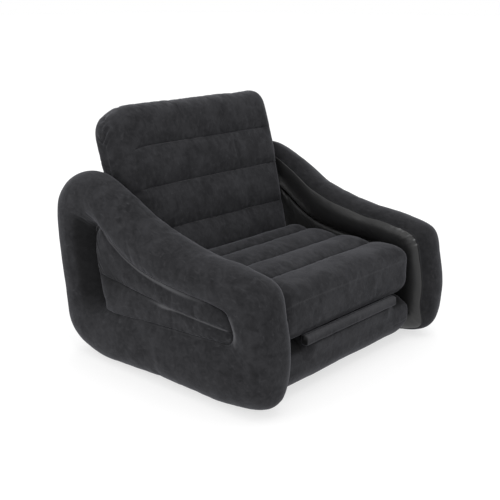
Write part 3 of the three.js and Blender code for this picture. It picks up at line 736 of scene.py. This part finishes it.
def addArmSkin(name, side, kind, values, material):
    columns = armColumns(values)
    rows = armRows(values, kind)
    flocked = kind == "outer"
    seed = values["seeds"]["left" if side < 0 else "right"] + (0 if flocked else values["seeds"]["inner"])
    lastColumn = len(columns) - 1
    settle = 1 + values["floorFlat"] / values["height"]
    folds, foldTurn, glint = values["folds"], values["foldTurn"], values["glint"]

    def place(rowIndex, columnIndex):
        row, column = rows[rowIndex], columns[columnIndex]
        run = columns[columnIndex % lastColumn]["run"]
        flat, outward, seamAway, borderAway, creaseAway = armSpot(values, row, column, flocked)
        height = flat.z * settle - values["floorFlat"]
        spot = Vector((side * (values["middle"] + outward), flat.y, max(height, 0)))
        turn = min(max((column["turn"] - foldTurn["from"]) / foldTurn["from"], foldTurn["least"]), 1)
        lift = fold(run, seamAway, folds[kind], seed + 9, turn)
        lift += unevenness(spot, values["waves"], seed)
        if row["kind"] == "lobe":
            ease = min(creaseAway / values["foldEase"], 1)
            lift += fold(run, borderAway, folds["border"], seed, ease)
            lift += fold(spot.y, creaseAway, folds["crease"], seed + 3)
            if flocked:
                lift += fold(run, borderAway, folds["ruffle"], seed + 5, column["ruffled"] * ease)
        else:
            lift += fold(run, borderAway, folds["rim"], seed + 6)
        if rowIndex == 0:
            lift -= values["seamDip"]
        # The vinyl gets painted glints at the puckers and painted shade under the tube
        if not flocked:
            paintedLight = vinylGlint(glint, column, run, seamAway, seed)
            shadeUnderTube = math.sin(row["angle"]) ** values["underPower"] if row["kind"] == "border" else 0
            return spot, lift + paintedLight * glint["height"], min(paintedLight, 1), shadeUnderTube, 1
        paintedLight, shade = flockMarks(values, row, column, outward, seamAway, borderAway, creaseAway)
        nearWeld = rowIndex == 0 or min(borderAway, creaseAway) < values["heldWithin"]
        return spot, lift, paintedLight, shade, 1 if nearWeld or row["kind"] == "floor" else 0

    shape = startShape()
    layGrid(shape, len(rows), len(columns), place)
    core = (side * values["middle"], 0, values["height"] * values["coreShare"])
    piece = endShape(shape, name, material, core)
    if flocked:
        letAirIn(piece, values["airSlack"], values["airCap"])
    addWall(piece, values["walls"][kind], -1)
    return piece


for sideName, side in (("left", -1), ("right", 1)):
    outer = addArmSkin(f"{sideName}_arm_cover", side, "outer", armValues, flock)
    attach(outer, "root")
    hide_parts(f"{sideName}_arm_outer_skin")
    inner = addArmSkin(f"{sideName}_arm_lining", side, "inner", armValues, vinyl)
    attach(inner, "root")
    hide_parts(f"{sideName}_arm_inner_skin")
print("stage: arms made")


# Chambers with channels: a section of humps between rounded ends, laid out across the chair and
# run down at the sides like the ends of sausages
chamberShared = {
    "power": 0.72,
    "endSteps": 18,
    "endSpacing": 1.7,
    "humpSteps": 9,
    "wallSteps": 8,
    "acrossStep": 0.0068,
    "widenedShare": 0.65,
    "widenedPower": 1.6,
    "lowerSeed": 40,
    "waves": ((0.13, 0.0022, 0), (0.04, 0.0006, 1)),
    "creaseEase": 0.03,
    "creaseFold": (0.021, 0.05, 0.0017),
    "seamFold": (0.024, 0.06),
    "seamSlant": 1.3,
    "seamReach": 0.0035,
    "seamDip": 0.0016,
    "seamLight": 0.4,
    "corner": {"most": 0.2, "across": 0.06, "along": 0.08, "folds": 2},
    "pucker": {"pitch": 0.012, "place": 1.7, "reach": 0.03},
    "sideDark": {"from": 0.75, "run": 0.3},
    "meetDark": {"across": 0.262, "acrossRun": 0.010, "along": 0.09, "alongRun": 0.03, "run": 0.014},
    "heldWithin": 0.003,
    "heldCrease": 0.3,
}
chamberFront = -0.448
baseCreases = [-0.289 + 0.150 * number for number in range(5)]
baseValues = {
    "start": chamberFront, "end": 0.440, "halfWidth": 0.3817, "widenedHalf": 0.3817, "sideRound": 0.062,
    "cornerDraw": (0.040, 0.024), "creases": baseCreases, "creaseFade": 0, "seed": 3.1, "seamShow": 0.1,
    "pucker": 0, "folds": 0.0004, "shift": 0, "sideShade": 1,
    "airCap": 0,
    "upper": {"height": 0.10225, "limit": 0.09825, "dip": 0.010, "meets": 0.060,
              "startWall": 0.012, "startRound": 0.080, "startCarries": True,
              "endWall": 0.040, "endRound": 0.080, "endCarries": True},
    "lower": {"height": 0.10425, "limit": 0.09825, "dip": 0.010, "meets": 0,
              "startWall": 0.012, "startRound": 0.165, "startPower": 1.0, "startCarries": False,
              "endWall": 0.040, "endRound": 0.080, "endCarries": False},
    "middle": 0.09825,
}
seatValues = {
    "start": chamberFront, "end": 0.1033, "halfWidth": 0.376, "widenedHalf": 0.376, "sideRound": 0.078,
    "cornerDraw": (0.046, 0.046), "creases": baseCreases[:3], "creaseFade": 0, "seed": 7.7, "seamShow": 0.25,
    "pucker": 0.001, "folds": 0.0009, "shift": 0, "sideShade": 1,
    "airSlack": 0.004, "airCap": 0.004,
    "upper": {"height": 0.0925, "limit": 0.0925, "dip": 0.025, "meets": 0,
              "startWall": 0.037, "startRound": 0.080, "startCarries": False,
              "endWall": 0, "endRound": 0.050, "endCarries": False},
    "lower": {"height": 0.0965, "limit": 0.0925, "dip": 0.008, "meets": 0.060,
              "startWall": 0.037, "startRound": 0.062, "startCarries": True,
              "endWall": 0, "endRound": 0.070, "endCarries": False},
    "middle": 0.2893,
}
backLength = 0.705
backValues = {
    "start": 0, "end": backLength, "halfWidth": 0.3817, "widenedHalf": 0.414, "sideRound": 0.072,
    "cornerDraw": (0.112, 0.060),
    "creases": [share * backLength for share in (0.121, 0.336, 0.56, 0.771)],
    "creaseFade": 0.040, "seed": 15.2, "seamShow": 0.5, "pucker": 0.015, "folds": 0.0024,
    "shift": 0.008, "sideShade": 0.1, "airSlack": 0.016, "airCap": 0.005,
    "upper": {"height": 0.090, "limit": 0.090, "dip": 0.020, "meets": 0,
              "startWall": 0, "startRound": 0.060, "startCarries": False,
              "endWall": 0, "endRound": 0.078, "endCarries": False},
    "lower": {"height": 0.090, "limit": 0.090, "dip": 0.012, "meets": 0,
              "startWall": 0, "startRound": 0.060, "startCarries": False,
              "endWall": 0, "endRound": 0.078, "endCarries": False},
    "foot": (0, 0.179, 0.20733),
    "lean": 17.3,
}


def easedAngles(steps):
    return [math.radians(90 * (step / steps) ** chamberShared["endSpacing"]) for step in range(steps + 1)]


# Rows of a section are given as place along the chamber, height, and how far the crease dips there
def cornerRows(wall, rounding, power, carries, height, place, inwards):
    rows = []
    if carries:
        steps = chamberShared["wallSteps"]
        rows += [(place, wall * (step / steps - 1), 0) for step in range(2 * steps)]
    for angle in easedAngles(chamberShared["endSteps"]):
        rows.append((place + inwards * rounding * (1 - math.cos(angle) ** power),
                     wall + (height - wall) * math.sin(angle) ** power, 0))
    return rows


def humpRows(start, end, height, dip):
    half = (end - start) / 2
    steps = chamberShared["humpSteps"]
    rows = []
    for step in range(2 * steps + 1):
        angle = math.radians(90 * step / steps)
        rows.append((start + half * (1 - math.cos(angle)), height, dip * (1 - math.sin(angle))))
    return rows


def sectionRows(chamber, skin):
    steps = chamberShared["humpSteps"]
    creases = chamber["creases"]
    firstCrest = chamber["start"] + skin["startRound"]
    lastCrest = chamber["end"] - skin["endRound"]
    height, dip = skin["height"], skin["dip"]
    power = chamberShared["power"]
    rows = cornerRows(skin["startWall"], skin["startRound"], skin.get("startPower", power), skin["startCarries"],
                      height, chamber["start"], 1)
    rows += humpRows(2 * firstCrest - creases[0], creases[0], height, dip)[steps + 1:]
    for near, far in zip(creases, creases[1:]):
        rows += humpRows(near, far, height, dip)[1:]
    rows += humpRows(creases[-1], 2 * lastCrest - creases[-1], height, dip)[1:steps]
    rows += cornerRows(skin["endWall"], skin["endRound"], power, skin["endCarries"],
                       height, chamber["end"], -1)[::-1]
    return rows


# Stations across a chamber: which side, how far in from the side, and how full the section is there
def acrossStations(chamber):
    shared = chamberShared
    full = chamber["halfWidth"] - chamber["sideRound"]
    ends = [(chamber["sideRound"] * (1 - math.cos(angle)), math.sin(angle) ** shared["power"])
            for angle in easedAngles(shared["endSteps"])]
    steps = round(full / shared["acrossStep"])
    ends += [(chamber["sideRound"] + full * step / steps, 1.0) for step in range(1, steps)]
    return [(-1, *end) for end in ends] + [(1, chamber["halfWidth"], 1.0)] + [(1, *end) for end in ends[::-1]]


def layChamber(shape, chamber, skin, sign):
    shared = chamberShared
    rows, stations = sectionRows(chamber, skin), acrossStations(chamber)
    start, end = chamber["start"], chamber["end"]
    middle, length = (start + end) / 2, end - start
    seed = chamber["seed"] + (0 if sign > 0 else shared["lowerSeed"])

    # Where a point lies before its folds, and how deep the creases are there
    def spotOf(along, height, dip, side, inset, fullness):
        raised = min((along - start) / length / shared["widenedShare"], 1) ** shared["widenedPower"]
        halfWidth = chamber["halfWidth"] + (chamber["widenedHalf"] - chamber["halfWidth"]) * raised
        across = side * (halfWidth - inset * halfWidth / chamber["halfWidth"]) + chamber["shift"] * raised
        draw = chamber["cornerDraw"][side > 0]
        draw = draw - math.sqrt(draw ** 2 - (draw - inset) ** 2) if inset < draw else 0
        drawn = 1 - 2 * draw / length
        fade = chamber["creaseFade"]
        creased = 1 if fade == 0 else eased((inset - fade) / shared["creaseEase"])
        tall = min(height - dip * creased, skin["limit"]) * fullness
        return across, middle + (along - middle) * drawn, tall, creased

    # Shade at the sides, and where the base and the mattress meet
    def shadeOf(across, along, tall, fullness):
        dark, meets = shared["meetDark"], skin["meets"]
        shade = chamber["sideShade"] * clamped((shared["sideDark"]["from"] - fullness) / shared["sideDark"]["run"])
        if meets and tall > meets:
            beside = 1 if sign < 0 else clamped((abs(across) - dark["across"]) / dark["acrossRun"])
            ahead = clamped((start + dark["along"] - along) / dark["alongRun"])
            shade = max(shade, min((tall - meets) / dark["run"], 1) * beside * ahead)
        return shade

    def place(rowIndex, stationIndex):
        along, height, dip = rows[rowIndex]
        side, inset, fullness = stations[stationIndex]
        across, drawnAlong, tall, creased = spotOf(along, height, dip, side, inset, fullness)
        spot = Vector((across, drawnAlong, sign * tall))
        creaseAway = min(abs(along - crease) for crease in chamber["creases"])
        nearEnd = "start" if along < middle else "end"
        seamHeight = skin[nearEnd + "Wall"] * (-1 if skin[nearEnd + "Carries"] else 1) * fullness
        seamAway = abs(tall - seamHeight)
        lift = fold(across, creaseAway, shared["creaseFold"], seed, creased)
        corner, pucker = shared["corner"], shared["pucker"]
        cornered = math.exp(-min(inset, corner["most"]) / corner["across"]) * math.exp(
            -min(along - start, end - along) / corner["along"])
        lift += fold(across + along * shared["seamSlant"], seamAway, (*shared["seamFold"], chamber["folds"]),
                     seed + 4, 1 + corner["folds"] * cornered)
        ripple = noise.noise(Vector(((across - side * along) / pucker["pitch"], seed, pucker["place"])))
        lift += chamber["pucker"] * cornered * ripple * bell(seamAway, pucker["reach"])
        lift += unevenness(spot, shared["waves"], seed)
        # Painted highlight along the seam, which also dips a little
        seam = bell(seamAway, shared["seamReach"]) * chamber["seamShow"]
        lift -= shared["seamDip"] * seam
        if chamber["shaping"]:
            spot += chamber["shaping"](spot)
        within = shared["heldWithin"]
        held = 1 if seamAway < within or creaseAway < within and creased > shared["heldCrease"] else 0
        return spot, lift, seam * shared["seamLight"], shadeOf(across, along, tall, fullness), held

    layGrid(shape, len(rows), len(stations), place)


def addChamber(name, chamber, inPlace):
    shape = startShape()
    layChamber(shape, chamber, chamber["upper"], 1)
    layChamber(shape, chamber, chamber["lower"], -1)
    core = (0, (chamber["start"] + chamber["end"]) / 2, 0)
    piece = endShape(shape, name, flock, core, inPlace)
    if chamber["airCap"]:
        letAirIn(piece, chamber["airSlack"], chamber["airCap"])
    return piece


# The base swells under the hinge roll and dips beside it, and its rear panel sinks into the valves' sleeves
baseShape = {
    "rollHalf": 0.256,
    "swell": {"depth": 0.018, "front": 0.012, "from": 0.010, "to": 0.076, "power": 1.5,
              "beyond": 0.010, "run": 0.050},
    "notch": {"depth": 0.014, "reach": 0.10, "power": 0.5, "beyond": 0.004, "run": 0.010,
              "above": 0.04, "rise": 0.03},
    "valveSpacing": 0.300,
    "pocketRadius": 0.0267,
    "pocketFloor": 0.385,
}


def shapeBase(spot):
    values = baseShape
    swell, notch = values["swell"], values["notch"]
    beyondRoll = abs(spot.x) - values["rollHalf"]
    move = Vector((0, 0, 0))
    if spot.y < chamberFront + swell["front"] and swell["from"] < spot.z < swell["to"]:
        rise = (spot.z - swell["from"]) / (swell["to"] - swell["from"])
        move.y = -swell["depth"] * rise ** swell["power"] * eased((swell["beyond"] - beyondRoll) / swell["run"])
    if spot.z > notch["above"]:
        beside = clamped((beyondRoll - notch["beyond"]) / notch["run"])
        ahead = clamped((chamberFront + notch["reach"] - spot.y) / notch["reach"])
        rise = min((spot.z - notch["above"]) / notch["rise"], 1)
        move.z -= notch["depth"] * beside * ahead ** notch["power"] * rise
    fromValve = math.hypot(abs(spot.x) - values["valveSpacing"] / 2, spot.z)
    if spot.y > values["pocketFloor"] and fromValve < values["pocketRadius"]:
        move.y = values["pocketFloor"] - spot.y
    return move


baseValues["shaping"] = shapeBase
seatValues["shaping"] = backValues["shaping"] = None

base = addChamber("bed_base", baseValues, Matrix.Translation((0, 0, baseValues["middle"])))
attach(base, "root")
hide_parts("base_top_skin", "base_bottom_skin", "base_rear_panel")

seat = addChamber("seat_mattress", seatValues, Matrix.Translation((0, 0, seatValues["middle"])))
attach(seat, "mattress")
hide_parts("seat_top_skin", "seat_bottom_skin")

tilt = Matrix.Rotation(math.radians(90 - backValues["lean"]), 4, "X")
back = addChamber("backrest", backValues, Matrix.Translation(backValues["foot"]) @ tilt)
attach(back, "root")
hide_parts("back_front_skin", "back_rear_skin")
print("stage: base, seat and backrest made")


# Hinge of the mattress: a puffed roll along the base and a strip of sheet on the mattress that laps it
hingeValues = {
    "front": -0.4505,
    "height": 0.19165,
    "halfWidth": 0.267,
    "shift": -0.009,
    "acrossSteps": 90,
    "acrossPower": 0.8,
    "roundSteps": 28,
    "rollHeight": 0.0175,
    "rollDepth": 0.0150,
    "rollPower": 0.55,
    "rollFrom": 45,
    "rollEnd": 0.007,
    "rollEndDark": 0.9,
    "rollLight": 0.35,
    "rollFold": (0.012, 0.05, 0.0008),
    "rollWaves": ((0.05, 0.0010, 1),),
    "rollSeed": 61,
    "stripRadius": 0.0182,
    "stripFrom": -6,
    "stripTo": 88,
    "stripWall": 0.0011,
    "stripShare": 0.982,
    "stripEndDark": 0.012,
    "stripWaves": ((0.03, 0.0002, 0),),
    "stripSeed": 71,
}


def acrossHinge(values, step):
    angle = math.radians(90 * (2 * step / values["acrossSteps"] - 1))
    return math.copysign(abs(math.sin(angle)) ** values["acrossPower"], angle) * values["halfWidth"]


def layHinge(name, values, place):
    shape = startShape()
    layGrid(shape, values["roundSteps"] + 1, values["acrossSteps"] + 1, place)
    return endShape(shape, name, flock, (0, values["front"], values["height"]))


def addHingeRoll(values):
    def place(rowIndex, columnIndex):
        across = acrossHinge(values, columnIndex)
        inside = values["halfWidth"] - abs(across)
        across += values["shift"]
        scale = math.sqrt(max(1 - (1 - min(inside / values["rollEnd"], 1)) ** 2, 0))
        angle = math.radians(values["rollFrom"] + 360 * rowIndex / values["roundSteps"])
        ahead, upwards = (math.copysign(abs(turn) ** values["rollPower"], turn) * scale
                          for turn in (math.cos(angle), math.sin(angle)))
        spot = Vector((across, values["front"] + values["rollDepth"] * ahead,
                       values["height"] + values["rollHeight"] * upwards))
        lift = (fold(across, inside, values["rollFold"], values["rollSeed"])
                + unevenness(spot, values["rollWaves"], values["rollSeed"]))
        # Painted highlight on the roll's top front, and painted shade on its ends
        light = values["rollLight"] * max(upwards, 0) if ahead < 0 else 0
        return spot, lift, light, 1 if scale < values["rollEndDark"] else 0, 1

    return layHinge("hinge_roll", values, place)


def addHingeStrip(values):
    def place(rowIndex, columnIndex):
        across = acrossHinge(values, columnIndex) * values["stripShare"]
        inside = values["halfWidth"] * values["stripShare"] - abs(across)
        across += values["shift"]
        share = rowIndex / values["roundSteps"]
        angle = math.radians(values["stripFrom"] + (values["stripTo"] - values["stripFrom"]) * share)
        spot = Vector((across, values["front"] + math.cos(angle) * values["stripRadius"],
                       values["height"] + math.sin(angle) * values["stripRadius"]))
        lift = unevenness(spot, values["stripWaves"], values["stripSeed"])
        # Painted shade darkens the strip's ends
        return spot, lift, 0, clamped(1 - inside / values["stripEndDark"]), 1

    strip = layHinge("hinge_strip", values, place)
    addWall(strip, values["stripWall"], 0)
    return strip


roll = addHingeRoll(hingeValues)
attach(roll, "root")
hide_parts("hinge_lip")
strip = addHingeStrip(hingeValues)
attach(strip, "mattress")
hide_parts("hinge_flap")
print("stage: hinge made")


# Finishes of the CAD nodes that show or stay inside
for name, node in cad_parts.items():
    if node.hide_render:
        continue
    finish = webSheet if "web" in name else valvePlastic
    node.data.materials.clear()
    node.data.materials.append(finish)
print("stage: finishes of the CAD nodes set")


print("stage: finished")
